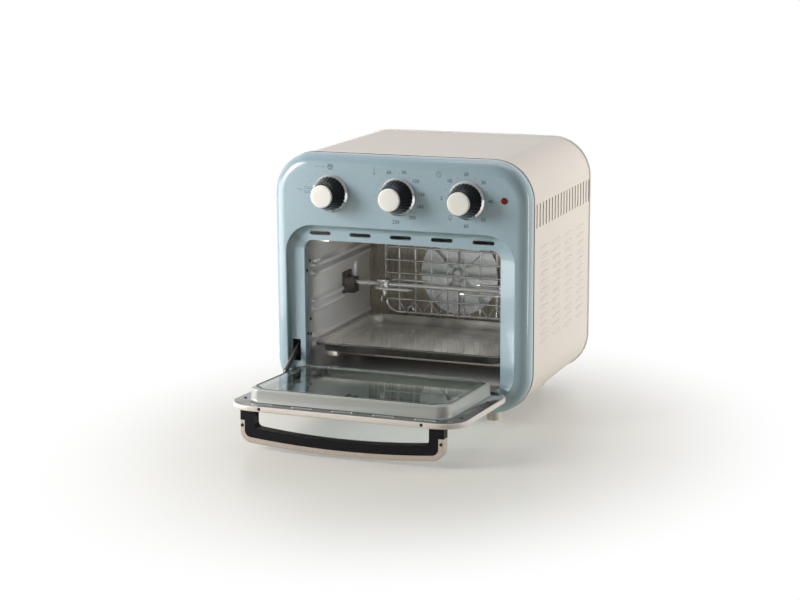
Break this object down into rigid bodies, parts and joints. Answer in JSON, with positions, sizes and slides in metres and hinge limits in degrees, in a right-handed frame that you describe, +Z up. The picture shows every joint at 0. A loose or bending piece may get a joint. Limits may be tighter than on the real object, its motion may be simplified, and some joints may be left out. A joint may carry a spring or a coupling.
{
  "type": "convection oven",
  "caption": "Countertop convection oven with a drop-down glazed door, bowed handle, round control knobs, turning spit, wire-guarded fan, rod heaters and a sliding baking tray.",
  "frame": {"origin": "centre of the bounding box with the door open, on the surface that the feet stand on", "axes": "+Z up, +Y from the front to the back, so the door opens towards -Y; +X to the right as seen from the front"},
  "size_m": [0.32, 0.4437, 0.314],
  "materials": {
    "blue_front": "glossy",
    "cream_case": "glossy paint",
    "cream_plastic": "glossy",
    "liner_steel": "satin",
    "wire_steel": "polished",
    "heater_steel": "satin",
    "dark_steel": "satin black",
    "enamel": "glossy black enamel",
    "flange_grey": "glossy dark grey",
    "glass": "clear",
    "black_grip": "glossy",
    "champagne": "satin",
    "chrome": "polished",
    "dark_chrome": "polished",
    "knob_cap": "satin",
    "lens": "clear red",
    "feet": "satin",
    "black_plastic": "matt",
    "screw_steel": "satin",
    "zinc": "plain"
  },
  "bodies": {
    "oven": {"front_frame": "blue_front", "cabinet_shell": "cream_case", "rear_panel": "zinc", "bottom_plate": "zinc", "cord_gland": "black_plastic", "foot_front_left": "feet", "foot_front_right": "feet", "foot_rear_left": "feet", "foot_rear_right": "feet", "liner_left_wall": "liner_steel", "liner_right_wall": "liner_steel", "liner_roof": "liner_steel", "liner_floor": "liner_steel", "liner_rear_wall": "liner_steel", "upper_heater_front": "heater_steel", "upper_heater_rear": "heater_steel", "lower_heater_front": "heater_steel", "lower_heater_rear": "heater_steel", "fan_guard": "wire_steel", "fan_motor": "zinc", "rotisserie_motor": "zinc", "spit_bracket": "dark_steel", "control_bracket": "zinc", "function_switch": "black_plastic", "thermostat": "zinc", "timer": "black_plastic", "indicator_lens": "lens", "cabinet_screws": "screw_steel", "liner_screws": "screw_steel", "hinge_pins": "screw_steel"},
    "door": {"door_frame": "cream_plastic", "door_inner_frame": "liner_steel", "door_glass_outer": "glass", "door_glass_inner": "glass", "door_screws": "screw_steel", "handle_grip": "black_grip", "handle_strip": "champagne", "handle_screws": "screw_steel", "arm_bracket": "zinc"},
    "arm": {"door_arm": "zinc"},
    "fan": {"fan_blade": "zinc", "fan_shaft": "zinc"},
    "spit": {"spit_rod": "wire_steel", "spit_fork_left": "wire_steel", "spit_fork_right": "wire_steel", "fork_screws": "wire_steel", "spit_drive": "dark_steel"},
    "tray": {"baking_tray": "enamel"},
    "function_dial": {"function_knob": "dark_chrome", "function_knob_cap": "knob_cap", "function_knob_skirt": "chrome", "function_shaft": "zinc"},
    "thermostat_dial": {"thermostat_knob": "dark_chrome", "thermostat_knob_cap": "knob_cap", "thermostat_knob_skirt": "chrome", "thermostat_shaft": "zinc"},
    "timer_dial": {"timer_knob": "dark_chrome", "timer_knob_cap": "knob_cap", "timer_knob_skirt": "chrome", "timer_shaft": "zinc"}
  },
  "joints": [
    {"name": "door_hinge", "type": "hinge", "parent": "oven", "child": "door", "pos_m": [0, -0.03535, 0.0398], "axis": [-1, 0, 0], "range_deg": [0, 87.3]},
    {"name": "arm_pivot", "type": "hinge", "parent": "door", "child": "arm", "pos_m": [-0.135, -0.06475, 0.0532], "axis": [-1, 0, 0], "range_deg": [-43.65, 0]},
    {"name": "fan_spin", "type": "hinge", "parent": "oven", "child": "fan", "pos_m": [0, 0.17565, 0.136], "axis": [0, 1, 0], "continuous": true},
    {"name": "spit_spin", "type": "hinge", "parent": "oven", "child": "spit", "pos_m": [0, 0.10265, 0.1335], "axis": [1, 0, 0], "continuous": true},
    {"name": "tray_slide", "type": "slide", "parent": "oven", "child": "tray", "axis": [0, 1, 0], "range_m": [-0.11, 0]},
    {"name": "function_turn", "type": "hinge", "parent": "oven", "child": "function_dial", "pos_m": [-0.0848, -0.05335, 0.268], "axis": [0, 1, 0], "range_deg": [0, 240]},
    {"name": "thermostat_turn", "type": "hinge", "parent": "oven", "child": "thermostat_dial", "pos_m": [0, -0.05335, 0.268], "axis": [0, 1, 0], "range_deg": [0, 240]},
    {"name": "timer_turn", "type": "hinge", "parent": "oven", "child": "timer_dial", "pos_m": [0.0848, -0.05335, 0.268], "axis": [0, 1, 0], "range_deg": [0, 285]}
  ],
  "couplings": [
    {"joint": "arm_pivot", "follows": "door_hinge", "ratio": -0.5}
  ]
}
